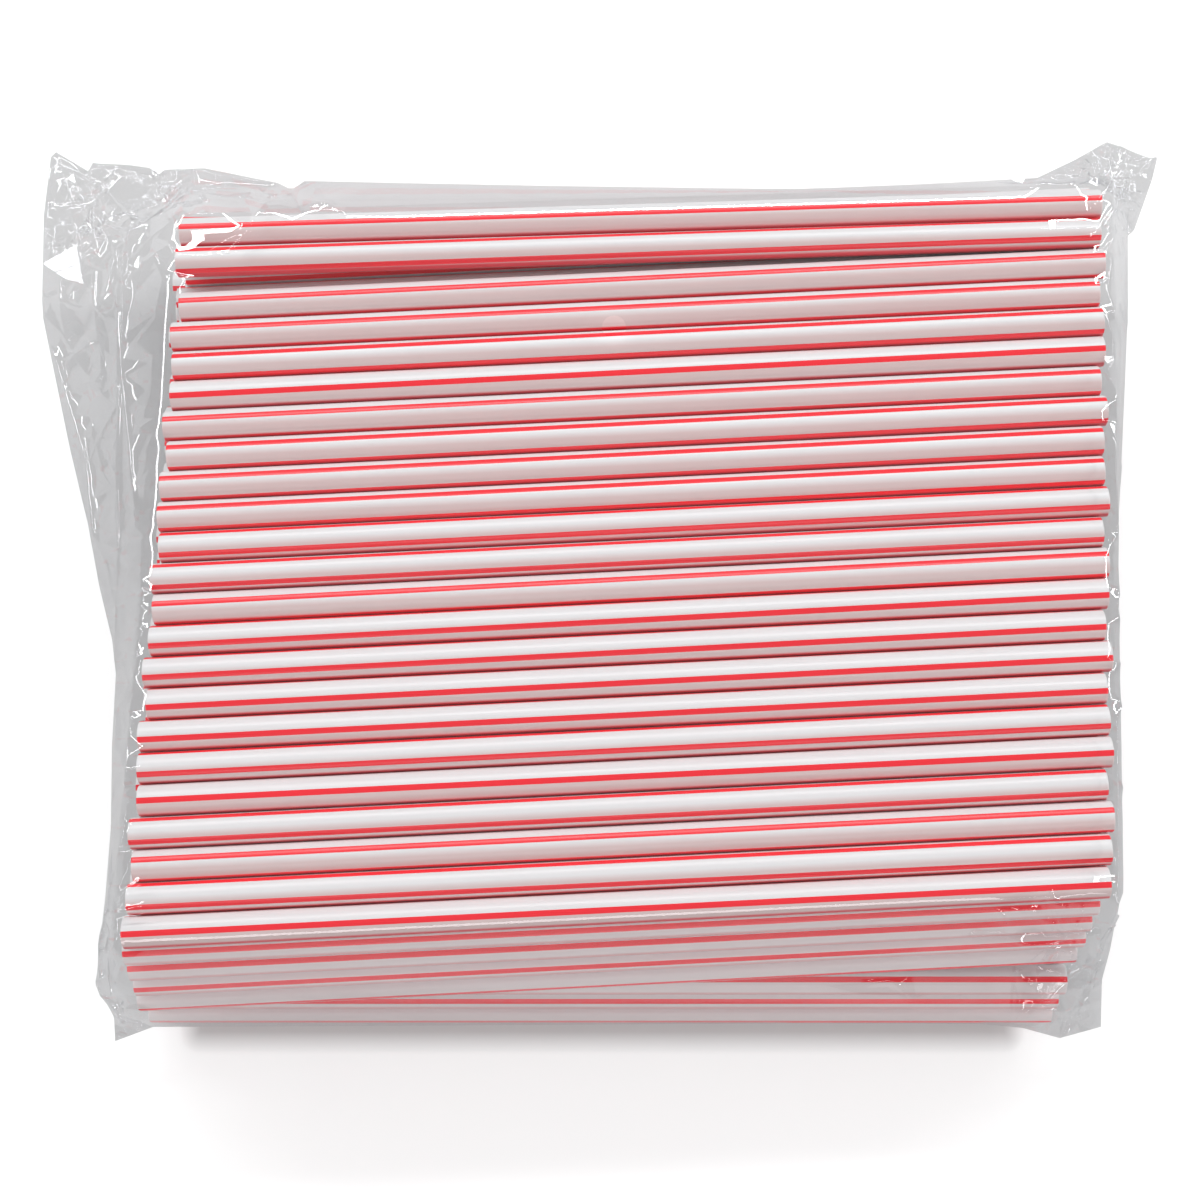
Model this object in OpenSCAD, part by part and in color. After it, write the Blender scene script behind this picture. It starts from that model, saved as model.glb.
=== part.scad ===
// A clear film bag holding a pile of red-striped drinking straws, lying on its broad side.
// X runs along the straws, Y across them, Z up. The bag rests on Z = 0.

/* [Straws] */
// Length of a straw
straw_len = 197; // [150:1:230]
// Outside diameter of a straw
straw_d = 6.45; // [5:0.05:8]
// Wall of a straw
straw_wall = 0.2; // [0.15:0.05:0.5]
// Width of one coloured stripe, round the straw
stripe_w = 1.15; // [0.6:0.05:1.6]
// How far a stripe stands proud of the wall
stripe_proud = 0.01; // [0.01:0.005:0.02]
// Free space between neighbouring straws
straw_gap = 0.05; // [0.02:0.01:0.3]

/* [Pile] */
// Straws in the top layer
top_rows = 23; // [15:1:27]
// Layers in the upper, slanting part of the pile
upper_layers = 5; // [3:1:5]
// Layers in the lower, straight part of the pile
lower_layers = 4; // [3:1:5]
// Slant of the upper layers, seen from above
upper_yaw = 2.9; // [0:0.1:3.5]
// How much less the two loose straws at the back slant
loose_turn = 1; // [0:0.1:1.5]
// Lengthwise step from one row to the next
row_step = 0.54; // [0:0.02:0.7]
// Lengthwise step from one layer to the one under it
layer_step = 0.7; // [0:0.05:1]
// Lengthwise unevenness of the straw ends, each way
unevenness = 0.7; // [0:0.1:1]
// Reach of the lower part past the upper one at the front
lower_reach = 8.7; // [7:0.1:14]
// Shift of the lower part towards the slack end
lower_shift = 6; // [0:0.5:7]

/* [Bag] */
// Thickness of the film
film_t = 0.25; // [0.2:0.05:0.4]
// Free space between the film and the straws
film_gap = 0.5; // [0.4:0.05:1]
// Free space between the straw ends and the film
end_room = 1; // [0.5:0.1:3]
// Film beyond the straws at the slack end
slack_end = 35.5; // [32:0.5:45]
// Film beyond the straws at the tight end
tight_end = 22.5; // [18:0.5:30]
// Film behind the lower part of the pile
back_slack = 4.2; // [3:0.1:8]
// Reach of the corner ears past the pile, across the bag
ear = 1.8; // [1:0.1:6]
// Height of the sealed ends over the table
seal_z = 24; // [18:1:30]
// Width of the flat seal at each end
seal_w = 3; // [2:0.5:5]
// Waviness of the sealed ends, up and down
seal_ripple = 3.5; // [0:0.5:5]
// Depth of the creases in the slack film
crease = 1.8; // [0:0.1:2.4]
// Diameter of the vent hole punched in the film
vent_d = 5; // [3:0.5:6]
// Place of the vent along the pile, from its middle
vent_x = -5; // [-80:1:80]
// Place of the vent across the pile, from its middle
vent_y = 45; // [-60:1:60]
// Length of the film's facets along the straws
facet_len = 11; // [10:0.5:16]
// Width of the film's facets across the straws
facet_width = 8; // [8:0.5:12]
// Length of the creased facets at the ends
crease_len = 4.5; // [4:0.5:8]

/* [Hidden] */
pitch = straw_d + straw_gap;
nest_rise = pitch * sin(60);
half_len = straw_len / 2;
skin = film_t + film_gap;
layers = upper_layers + lower_layers;
loose_rows = 2;
// The pile sits nearer the tight end, so that the bag is centred on X = 0.
pile_x = (slack_end - tight_end) / 2;
lowest_z = skin + straw_d / 2;
// The straws of the two parts cross, so the upper part stands a full diameter higher.
upper_z = lowest_z + (lower_layers - 1) * nest_rise + pitch;
top_z = upper_z + (upper_layers - 1) * nest_rise;
loose_z = top_z - nest_rise + pitch + straw_gap;
top_front = -(top_rows - 1) / 2 * pitch;
upper_front = top_front - (upper_layers - 1) / 2 * pitch;
lower_front = upper_front - lower_reach;
// The lower rows stop this far short at the back, where the film hangs free.
lower_short = 1.6 * pitch;
roll_step = 47;
facets = 48;

function pad(n) = n < 10 ? str("0", n) : str(n);
function uneven(layer, row) = unevenness * sin(137 * row + 61 * layer + 20);

// Layer 1 is the top one and row 1 is the front one.
function is_upper(layer) = layer <= upper_layers;
function lower_index(layer) = layers - layer;
// The lower part is widest one layer over the table.
function side_step(layer) = is_upper(layer) ? (layer - 1) / 2 : abs(lower_index(layer) - 1) / 2;
function front_y(layer) =
    is_upper(layer) ? top_front - side_step(layer) * pitch : lower_front + side_step(layer) * pitch;
function back_limit(layer) = is_upper(layer) ? -top_front + pitch / 2 : -lower_front - lower_short;
function rows_in(layer) = 1 + floor((back_limit(layer) - front_y(layer)) / pitch + 0.01);
function layer_z(layer) =
    is_upper(layer) ? top_z - (layer - 1) * nest_rise : lowest_z + lower_index(layer) * nest_rise;
function is_loose(layer, row) = layer == 1 && row > top_rows - loose_rows;
function row_y(layer, row) = front_y(layer) + (row - 1) * pitch;
function row_x(layer, row) =
    is_upper(layer)
    ? row_step * row_y(layer, row) / pitch - layer_step * (layer - 1) + uneven(layer, row)
    : -lower_shift + uneven(layer, row);

module tube() {
    rotate([0, 90, 0])
        difference() {
            cylinder(h = straw_len, d = straw_d, center = true, $fn = facets);
            cylinder(h = straw_len + straw_d, d = straw_d - 2 * straw_wall, center = true, $fn = facets);
        }
}

// A stripe is a strip of coloured plastic let into the outer half of the wall.
module stripe(at) {
    turn = stripe_w / (straw_d / 2) * 180 / PI;
    rotate([0, 90, 0])
        rotate([0, 0, at])
            translate([0, 0, -half_len])
                rotate_extrude(angle = turn, $fn = facets)
                    translate([straw_d / 2 - straw_wall / 2, 0])
                        square([straw_wall / 2 + stripe_proud, straw_len]);
}

// One white tube with four lengthwise stripes a quarter turn apart.
module striped_straw(roll) {
    rotate([roll, 0, 0]) {
        color("white") tube();
        for (k = [0:3]) color("crimson") stripe(k * 90);
    }
}

module plain_straw() {
    color("white") tube();
}

module at_row(layer, row) {
    translate([pile_x, 0, 0])
        rotate([0, 0, is_upper(layer) ? upper_yaw : 0])
            translate([row_x(layer, row), row_y(layer, row), is_loose(layer, row) ? loose_z : layer_z(layer)])
                // A loose straw swings about its right-hand end.
                translate([half_len, 0, 0])
                    rotate([0, 0, is_loose(layer, row) ? -loose_turn : 0])
                        translate([-half_len, 0, 0])
                            children();
}

// No two neighbours show their stripes at the same place.
module top_straw(row) {
    at_row(1, row) striped_straw(roll_step * row);
}

module front_straw(layer) {
    at_row(layer, 1) striped_straw(roll_step * layer);
}

// The rest of a lower layer, hidden behind its front straw.
module straw_layer(layer) {
    for (row = [2:rows_in(layer)]) at_row(layer, row) plain_straw();
}

// The film is a grid of points: stations along the bag by points round it.
// Point 0 is the front edge, the first half goes over the top to the back edge.
body_steps = round(straw_len / facet_len);
end_steps = round(slack_end / crease_len);
top_steps = round((top_rows - 1) * pitch / facet_width);
// Steps over the front slope and the back one, and round the edges of the underside.
front_steps = 9;
back_steps = 6;
foot_steps = 10;
half_round = front_steps + top_steps + back_steps;
around = 2 * half_round;
yaw_slope = tan(upper_yaw);
loose_slope = tan(upper_yaw - loose_turn);
// Distance of the film from the middle of the straws that it is stretched over.
cover = straw_d / 2 + skin;
// Half of the small facet that rounds each long edge.
bevel = 1.6;
function back_y(layer) = front_y(layer) + (rows_in(layer) - 1) * pitch;
low_back = max([for (layer = [upper_layers + 1:layers]) back_y(layer)]);
front_edge = lower_front - cover;
upper_back = back_limit(upper_layers) + half_len * yaw_slope;
back_edge = max(low_back, upper_back) + cover + back_slack;
half_w = ear - front_edge;

function mix(a, b, t) = a + (b - a) * t;
function split(a, b, n) = [for (k = [0:n - 1]) mix(a, b, k / n)];

// Outline of the film across the bag, at x from the middle of the pile. The number
// after each point is how many steps lead to the next one.
function film_ring(x) =
    let (
        front_top = top_front + x * yaw_slope,
        front_low = upper_front + x * yaw_slope - cover,
        back_top = -top_front + half_len * yaw_slope - (half_len - x) * loose_slope,
        top = loose_z + cover,
        // The film clears the front straw just under the crossing.
        under_cross = front_y(upper_layers + 1) - 2 * cover - front_edge,
        shoulder = max(0, min(2 * bevel, 0.62 * (front_low - front_edge - bevel / 2), under_cross)),
        ring = [
            [[front_edge, lowest_z + nest_rise + bevel], 2],
            [[front_edge + shoulder, lowest_z + (lower_layers - 1) * nest_rise], 2],
            [[front_low - 0.3 * bevel, upper_z + bevel], 4],
            [[front_top - cover, top_z + bevel], 1],
            [[front_top - bevel, top_z + cover], top_steps],
            [[back_top + bevel / 2, top], 1],
            [[back_top + cover + 0.75 * bevel, top - bevel], 5],
            [[back_edge, top / 2], 3],
            [[back_edge - back_slack / 2, top / 5], 2],
            [[back_y(layers) + cover + 0.3 * bevel, 0.75 * bevel], 1],
            [[back_y(layers) + bevel, 0], half_round - foot_steps],
            [[lower_front + pitch / 2 - 0.55 * bevel, 0], 1],
            [[lower_front, 0.75 * bevel], 2],
            [[front_edge, lowest_z + nest_rise - bevel], 1]
        ]
    )
    [for (k = [0:len(ring) - 1]) each split(ring[k][0], ring[(k + 1) % len(ring)][0], ring[k][1])];

// The ends of the upper rows stand on a slant, those of the lower ones do not.
end_slant = row_step / pitch - yaw_slope;
// How far the straw ends stand off the middle at this height. At the crossing of the two
// parts, the film clears the one that reaches further out.
function end_drift(side, y, z) =
    let (
        upper = lookup(z, [[upper_z, -layer_step * (upper_layers - 1)], [top_z, 0]]) + y * end_slant,
        lower = -lower_shift
    )
    z > upper_z ? upper : z < upper_z - 1.2 * pitch ? lower : side * max(side * upper, side * lower);
function end_x(side, y, z) =
    side * (half_len + unevenness + skin + end_room) + end_drift(side, y, z);

function rim(side) =
    [for (p = film_ring(side * half_len)) [end_x(side, p[0], p[1]), p[0], p[1]]];

// Outer edge of the bag at each end, from the front ear to the back one: the place
// as a share of the half width, then the length as a share of that end's film.
slack_edge = [[-1, 0.27], [-0.95, 0.3], [-0.89, 0.39], [-0.22, 0.38], [0.6, 0.96], [0.81, 1], [1, 0.96]];
tight_edge = [[-1, -0.29], [-0.97, 0.02], [-0.82, 0.13], [-0.61, 0.24], [-0.17, 0.31], [0.5, 0.56], [1, 1]];
function edge_x(side, y) =
    side < 0
    ? -half_len - slack_end * lookup(y / half_w, slack_edge)
    : half_len + tight_end * lookup(y / half_w, tight_edge);
function seal_wave(y) = seal_z + seal_ripple * (0.63 * sin(3.1 * y) + 0.37 * sin(7.7 * y + 40));

// Share of the way from the front edge to the back edge, by the first half or the second.
function way(j) = j <= half_round ? j / half_round : (around - j) / half_round;
function eased(t) = 0.5 - 0.5 * cos(180 * t);
function seal_ring(side, out) =
    [for (j = [0:around - 1])
        let (
            y = mix(-half_w, half_w, mix(way(j), eased(way(j)), 0.35)),
            tip = j == 0 || j == half_round,
            dz = tip ? 0 : j < half_round ? film_t : -film_t
        )
        [edge_x(side, y) - side * seal_w * (1 - out), y, seal_wave(y) + dz]
    ];

function saw(t) = abs(2 * (t - floor(t)) - 1) * 2 - 1;
function creases(s, j) =
    crease * sin(180 * s) * (0.45 + 0.3 * saw(0.31 * j + 1.1 * s) + 0.25 * saw(0.17 * j - 2.3 * s + 0.4));
function ring_out(ring, j) =
    let (a = ring[(j + 1) % around], b = ring[(j + around - 1) % around], d = [a[1] - b[1], a[2] - b[2]])
    [-d[1], d[0]] / max(norm(d), 0.001);

function end_ring(side, s) =
    let (a = rim(side), b = seal_ring(side, 0))
    [for (j = [0:around - 1])
        let (p = mix(a[j], b[j], s), n = ring_out(a, j), c = creases(s, j))
        [
            p[0] + side * 0.6 * c,
            max(-half_w, min(half_w, p[1] + 0.7 * c * n[0])),
            max(0, p[2] + 0.7 * c * n[1])
        ]
    ];
function body_ring(u) =
    let (a = rim(-1), b = rim(1), mid = film_ring(mix(-half_len, half_len, u)))
    [for (j = [0:around - 1]) [mix(a[j][0], b[j][0], u), mid[j][0], mid[j][1]]];

film_rings = concat(
    [seal_ring(-1, 1)],
    [for (k = [end_steps:-1:1]) end_ring(-1, k / end_steps)],
    [for (k = [0:body_steps]) body_ring(k / body_steps)],
    [for (k = [1:end_steps]) end_ring(1, k / end_steps)],
    [seal_ring(1, 1)]
);
last_ring = len(film_rings) - 1;
first_in = 2;
last_in = last_ring - 2;

function outward(i, j) =
    let (
        round_step = film_rings[i][(j + 1) % around] - film_rings[i][(j + around - 1) % around],
        along_step = film_rings[i + 1][j] - film_rings[i - 1][j],
        n = cross(along_step, round_step)
    )
    n / max(norm(n), 0.001);
function inner_point(i, j) = film_rings[i][j] - film_t * outward(i, j);

// The vent is cut in the middle of one cell of the grid, through both skins.
vent_i = 1 + end_steps + floor((vent_x + half_len) / straw_len * body_steps);
vent_j = front_steps + floor((vent_y - top_front) / (-2 * top_front) * top_steps);
vent_sides = 4 * ceil(vent_d * PI / 4);
function cell(i, j) = [for (k = [[0, 0], [0, 1], [1, 1], [1, 0]]) [i + k[0], (j + k[1]) % around]];
vent_mid = (film_rings[vent_i][vent_j] + film_rings[vent_i + 1][vent_j + 1]) / 2;
function vent_ring(depth) =
    [for (k = [0:vent_sides - 1])
        let (a = 225 + 360 * k / vent_sides, n = outward(vent_i, vent_j))
        vent_mid + vent_d / 2 * [-cos(a), sin(a), 0] - depth * n
    ];

outer_count = (last_ring + 1) * around;
inner_rows = last_in - first_in + 1;
inner_start = outer_count;
vent_start = inner_start + inner_rows * around;

function outer_id(i, j) = i * around + j % around;
function inner_id(i, j) = inner_start + (i - first_in) * around + j % around;
function is_vent(i, j) = i == vent_i && j == vent_j;
function flip(faces) = [for (f = faces) [f[2], f[1], f[0]]];
function quad(a, b, c, d) = [[a, b, c], [a, c, d]];

film_points = concat(
    [for (ring = film_rings) each ring],
    [for (i = [first_in:last_in]) for (j = [0:around - 1]) inner_point(i, j)],
    vent_ring(0),
    vent_ring(film_t)
);
outer_skin = [
    for (i = [0:last_ring - 1]) for (j = [0:around - 1])
        if (!is_vent(i, j))
            each quad(outer_id(i, j), outer_id(i, j + 1), outer_id(i + 1, j + 1), outer_id(i + 1, j))
];
inner_skin = [
    for (i = [first_in:last_in - 1]) for (j = [0:around - 1])
        if (!is_vent(i, j))
            each flip(quad(inner_id(i, j), inner_id(i, j + 1), inner_id(i + 1, j + 1), inner_id(i + 1, j)))
];
function end_cap(ids) = [
    [ids[0], ids[around - 1], ids[1]],
    for (j = [1:half_round - 2]) each quad(ids[j], ids[around - j], ids[around - j - 1], ids[j + 1]),
    [ids[half_round - 1], ids[half_round + 1], ids[half_round]]
];
caps = concat(
    end_cap([for (j = [0:around - 1]) outer_id(0, j)]),
    flip(end_cap([for (j = [0:around - 1]) outer_id(last_ring, j)])),
    flip(end_cap([for (j = [0:around - 1]) inner_id(first_in, j)])),
    end_cap([for (j = [0:around - 1]) inner_id(last_in, j)])
);
// Joins the four corners of a cell to the ring of the vent inside it.
function vent_fan(corners, ring0) = [
    for (k = [0:vent_sides - 1])
        let (c = floor(k * 4 / vent_sides))
        [corners[c], ring0 + (k + 1) % vent_sides, ring0 + k],
    for (c = [0:3])
        [corners[c], corners[(c + 1) % 4], ring0 + ((c + 1) * vent_sides / 4) % vent_sides]
];
vent_faces = concat(
    vent_fan([for (q = cell(vent_i, vent_j)) outer_id(q[0], q[1])], vent_start),
    flip(vent_fan([for (q = cell(vent_i, vent_j)) inner_id(q[0], q[1])], vent_start + vent_sides)),
    [for (k = [0:vent_sides - 1])
        each quad(vent_start + k, vent_start + (k + 1) % vent_sides,
            vent_start + vent_sides + (k + 1) % vent_sides, vent_start + vent_sides + k)]
);

// One skin of film with a sealed end on each side, closed but for the vent hole.
module film_bag() {
    color("lightsteelblue", 0.3)
        translate([pile_x, 0, 0])
            polyhedron(points = film_points, faces = concat(outer_skin, inner_skin, caps, vent_faces));
}

film_bag();
for (row = [1:top_rows])
    top_straw(row);
for (layer = [2:layers])
    front_straw(layer);
for (layer = [2:layers])
    straw_layer(layer);
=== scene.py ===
"""Dresses a film-wrapped pack of drinking straws: striped straws, the clear bag and the stage."""

import math
import random

import bpy
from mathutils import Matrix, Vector
from mathutils.geometry import delaunay_2d_cdt


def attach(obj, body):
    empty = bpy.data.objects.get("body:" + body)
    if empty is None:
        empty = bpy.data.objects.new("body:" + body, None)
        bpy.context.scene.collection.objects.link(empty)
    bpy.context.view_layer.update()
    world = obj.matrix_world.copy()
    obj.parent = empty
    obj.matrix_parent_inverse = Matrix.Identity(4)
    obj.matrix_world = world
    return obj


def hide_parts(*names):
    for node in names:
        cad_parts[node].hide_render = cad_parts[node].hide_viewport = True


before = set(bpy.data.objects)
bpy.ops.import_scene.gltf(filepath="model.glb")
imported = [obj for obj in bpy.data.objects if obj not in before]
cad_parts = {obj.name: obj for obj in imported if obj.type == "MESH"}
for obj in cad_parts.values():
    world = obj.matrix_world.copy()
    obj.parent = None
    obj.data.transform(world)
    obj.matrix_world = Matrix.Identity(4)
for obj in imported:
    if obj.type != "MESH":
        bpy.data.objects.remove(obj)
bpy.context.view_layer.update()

bl_info = {
    "name": "Straw Pack",
    "version": (1, 0, 0),
    "blender": (4, 5, 0),
    "location": "3D View > Sidebar > Straw Pack",
    "description": "Builds striped drinking straws in a clear, creased film bag",
    "category": "Object",
}

MM = 0.001

# The pile, in millimetres, as the part's source lays it out.
PITCH = 6.5
NEST_RISE = PITCH * math.sin(math.radians(60))
TOP_ROWS = 23
UPPER_LAYERS = 5
LAYERS = 9
LOOSE_ROWS = 2
LOOSE_TURN = math.radians(1.0)
UPPER_YAW = math.radians(2.9)
ROW_STEP = 0.54
LAYER_STEP = 0.7
UNEVENNESS = 0.7
# Degrees that spread the unevenness of the ends: per row, per layer, and to start with.
UNEVEN_ROW, UNEVEN_LAYER, UNEVEN_START = 137, 61, 20
LOWER_SHIFT = 6.0
PILE_X = 6.5
STRAW_LEN = 197.0
STRAW_D = 6.45
FILM_SKIN = 0.75
HALF_LEN = STRAW_LEN / 2
LOWEST_Z = FILM_SKIN + STRAW_D / 2
UPPER_Z = LOWEST_Z + (LAYERS - UPPER_LAYERS - 1) * NEST_RISE + PITCH
TOP_Z = UPPER_Z + (UPPER_LAYERS - 1) * NEST_RISE
LOOSE_GAP = 0.05
LOOSE_Z = TOP_Z - NEST_RISE + PITCH + LOOSE_GAP
TOP_FRONT = -(TOP_ROWS - 1) / 2 * PITCH
UPPER_FRONT = TOP_FRONT - (UPPER_LAYERS - 1) / 2 * PITCH
# The lower layers reach out at the front, and end some pitches short of that at the back.
FRONT_REACH = 8.7
BACK_ROOM = 1.6
LOWER_FRONT = UPPER_FRONT - FRONT_REACH
LOWER_BACK_LIMIT = -LOWER_FRONT - BACK_ROOM * PITCH
COVER = STRAW_D / 2 + FILM_SKIN
FRONT_EDGE = LOWER_FRONT - COVER

# Turn of each straw in degrees, from the back row of the top layer to the front one.
TOP_ROLLS = [
    -6, 46, -13, -18, -32, 8, -20, -29, -27, -28, 36, 41,
    -20, 20, 20, 16, 17, 28, 6, 36, -21, 38, 8,
]
# Twist of the stripes in degrees, from the middle of the straw to its left end.
TOP_TWISTS = [0, 10, 2, 2, 3, 4, 5, 6, 6, 4, 3, 2, 6, 6, 5, 2, 0, -1, -3, 0, 0, -6, -2]
# Turn of the front straws, from layer 2 down.
FRONT_ROLLS = [18, 14, 38, -20, 0, 30, -20, 40]
# Rings along a straw: share of its length, and how far the radius is drawn in at its rounded lips.
FINE_RINGS = [(0.0, 0.1), (0.0006, 0.03), (0.002, 0.0)]
FINE_RINGS += [(k / 12, 0.0) for k in range(1, 12)]
FINE_RINGS += [(0.998, 0.0), (0.9994, 0.03), (1.0, 0.1)]
PLAIN_RINGS = [(0.0, 0.05), (0.001, 0.0), (0.999, 0.0), (1.0, 0.05)]
# Steps round the white plastic between two stripes, on straws that show and on hidden ones.
FINE_STEPS, PLAIN_STEPS = 8, 3


def is_upper(layer):
    return layer <= UPPER_LAYERS


def front_y(layer):
    if is_upper(layer):
        return TOP_FRONT - (layer - 1) / 2 * PITCH
    return LOWER_FRONT + abs(LAYERS - layer - 1) / 2 * PITCH


def rows_in(layer):
    back = -TOP_FRONT + PITCH / 2 if is_upper(layer) else LOWER_BACK_LIMIT
    return 1 + math.floor((back - front_y(layer)) / PITCH + 0.01)


def straw_ends(layer, row):
    """Left and right end of a straw's axis; layer 1 is the top one and row 1 the front one."""
    y = front_y(layer) + (row - 1) * PITCH
    uneven_angle = UNEVEN_ROW * row + UNEVEN_LAYER * layer + UNEVEN_START
    uneven = UNEVENNESS * math.sin(math.radians(uneven_angle))
    loose = layer == 1 and row > TOP_ROWS - LOOSE_ROWS
    if is_upper(layer):
        x = ROW_STEP * y / PITCH - LAYER_STEP * (layer - 1) + uneven
        z = LOOSE_Z if loose else TOP_Z - (layer - 1) * NEST_RISE
        yaw = UPPER_YAW
    else:
        x = -LOWER_SHIFT + uneven
        z = LOWEST_Z + (LAYERS - layer) * NEST_RISE
        yaw = 0.0
    turn = -LOOSE_TURN if loose else 0.0
    right = (x + HALF_LEN, y)
    left = (right[0] - STRAW_LEN * math.cos(turn), y - STRAW_LEN * math.sin(turn))
    c, s = math.cos(yaw), math.sin(yaw)
    return [Vector((PILE_X + c * px - s * py, s * px + c * py, z)) for px, py in (left, right)]


# ---- meshes ---------------------------------------------------------------------------------


def new_piece(name, points, faces, face_slots, materials, replaced):
    """A mesh object in metres that rides on the pack and stands for the CAD nodes named."""
    mesh = bpy.data.meshes.new(name)
    mesh.from_pydata([(x * MM, y * MM, z * MM) for x, y, z in points], [], faces)
    for material in materials:
        mesh.materials.append(material)
    mesh.polygons.foreach_set("material_index", face_slots)
    mesh.polygons.foreach_set("use_smooth", [True] * len(faces))
    mesh.update()
    piece = bpy.data.objects.new(name, mesh)
    bpy.context.scene.collection.objects.link(piece)
    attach(piece, "root")
    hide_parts(*replaced)
    return piece


def stripe_angles(stripe_w, gap_steps):
    """Angles round a straw, with an edge on each side of a stripe, and which steps are stripe."""
    half = stripe_w / STRAW_D
    angles, striped = [], []
    for quarter in range(4):
        middle = quarter * math.pi / 2
        rest = math.pi / 2 - 2 * half
        angles += [middle - half, middle]
        striped += [1, 1]
        angles += [middle + half + rest * k / gap_steps for k in range(gap_steps)]
        striped += [0] * gap_steps
    return angles, striped


def add_straw(points, faces, slots, ends, rolls, wall, angles, striped, stations):
    """One tube with its cut ends; stations are the rings along it."""
    left, right = ends
    along = (right - left).normalized()
    side = Vector((0, 0, 1)).cross(along).normalized()
    up = along.cross(side)
    count = len(angles)
    start = len(points)
    radii = [STRAW_D / 2 - inset for _, inset in stations]
    shares = [share for share, _ in stations]
    rings = list(zip(shares, radii))
    rings += [(share, STRAW_D / 2 - wall) for share in reversed(shares)]
    for share, radius in rings:
        middle = left.lerp(right, share)
        roll = rolls[0] + (rolls[1] - rolls[0]) * share
        for angle in angles:
            outward = math.cos(angle + roll) * up - math.sin(angle + roll) * side
            points.append(middle + radius * outward)
    total = len(rings)
    for i in range(total):
        outside = i < len(stations) or i == total - 1
        for j in range(count):
            a = start + i * count + j
            b = start + i * count + (j + 1) % count
            c = start + (i + 1) % total * count + (j + 1) % count
            d = start + (i + 1) % total * count + j
            faces.append((a, b, c, d))
            slots.append(striped[j] if outside else 0)


# ---- film -----------------------------------------------------------------------------------


def lookup(x, table):
    """Straight-line interpolation in a sorted table of pairs."""
    if x <= table[0][0]:
        return table[0][1]
    for (x0, y0), (x1, y1) in zip(table, table[1:]):
        if x <= x1:
            return y0 + (y1 - y0) * (x - x0) / max(x1 - x0, 1e-9)
    return table[-1][1]


def top_profile(x):
    """Places across the bag and heights of the film over the pile, from the front to the back."""
    slope = math.tan(UPPER_YAW)
    loose_slope = math.tan(UPPER_YAW - LOOSE_TURN)
    front_top = TOP_FRONT + x * slope
    front_low = UPPER_FRONT + x * slope - COVER
    back_top = -TOP_FRONT + HALF_LEN * slope - (HALF_LEN - x) * loose_slope
    top = LOOSE_Z + COVER
    return [
        (FRONT_EDGE, 9.6),
        (FRONT_EDGE + min(3.2, 0.62 * (front_low - FRONT_EDGE - 0.8)), 20.9),
        (front_low - 0.5, UPPER_Z + 1.6),
        (front_top - COVER, TOP_Z + 1.6),
        (front_top - 2.4, TOP_Z + COVER - 0.6),
        (front_top - 1.0, TOP_Z + COVER),
        (back_top + 0.8, top),
        (back_top + 3.0, top - 0.6),
        (back_top + COVER + 1.2, top - 2.2),
        (90.5, top / 2),
    ]


# The same for the film under the pile.
UNDER_PROFILE = [
    (FRONT_EDGE, 9.0), (LOWER_FRONT, 1.2), (LOWER_FRONT + 2.3, 0.0),
    (80.6, 0.0), (83.5, 1.2), (88.4, 11.0), (90.5, 27.0),
]


# The film follows the slant of the upper layers' ends above this height, and a share of it below.
CROSSING_Z = 24
LOWER_SLANT = 0.2


def rim_x(side, y, z):
    """Where the film leaves the straw ends, from the middle of the pile."""
    lowest_upper = (UPPER_Z, -LAYER_STEP * (UPPER_LAYERS - 1))
    drift = lookup(z, [(UPPER_Z - PITCH, -LOWER_SHIFT), lowest_upper, (TOP_Z, 0.0)])
    slant = ROW_STEP / PITCH - math.tan(UPPER_YAW)
    reach = side * (HALF_LEN + UNEVENNESS + FILM_SKIN)
    return reach + drift + y * slant * (1 if z > CROSSING_Z else LOWER_SLANT)


# Outline of the bag from above, anticlockwise from the front left ear: x, y and height.
OUTLINE = [
    (-106.5, -100.4, 9), (-98.4, -97.4, 9), (-22.3, -97.0, 9), (43.6, -96.6, 9), (83.2, -96.8, 8),
    (92.7, -97.7, 7), (100.9, -99.9, 7), (109.3, -97.3, 10), (107.5, -87.0, 20),
    (109.0, -80.8, 22), (111.0, -70.7, 24), (111.0, -59.6, 25), (111.9, -42.5, 25),
    (112.5, -17.1, 25), (113.6, 0.0, 25), (115.9, 23.2, 25), (118.5, 51.1, 25), (119.6, 64.1, 25),
    (120.1, 79.1, 26), (121.3, 80.1, 27), (125.7, 91.8, 28), (127.1, 96.7, 28), (123.9, 97.2, 29),
    (117.7, 98.8, 31), (114.8, 99.3, 32), (113.4, 98.6, 32), (107.3, 95.0, 32), (99.0, 91.5, 30),
    (72.6, 90.8, 28), (45.2, 90.0, 27), (22.3, 90.3, 27), (-12.1, 90.8, 27), (-46.5, 91.5, 27),
    (-68.5, 92.0, 27), (-71.2, 89.8, 27), (-74.5, 91.5, 27), (-91.4, 94.7, 28),
    (-100.8, 94.3, 28), (-108.8, 95.5, 28), (-116.6, 95.5, 29), (-117.9, 94.0, 28),
    (-125.2, 98.2, 29), (-126.3, 97.0, 29), (-127.4, 83.4, 28), (-126.9, 63.4, 27),
    (-126.4, 59.1, 27), (-118.8, 28.7, 26), (-113.9, 11.8, 26), (-110.6, -2.2, 26),
    (-107.1, -14.2, 26), (-105.9, -21.7, 26), (-105.9, -37.4, 26), (-105.2, -54.5, 26),
    (-105.6, -69.7, 26), (-106.6, -80.4, 25), (-107.7, -88.1, 22), (-105.7, -94.8, 14),
]

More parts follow.
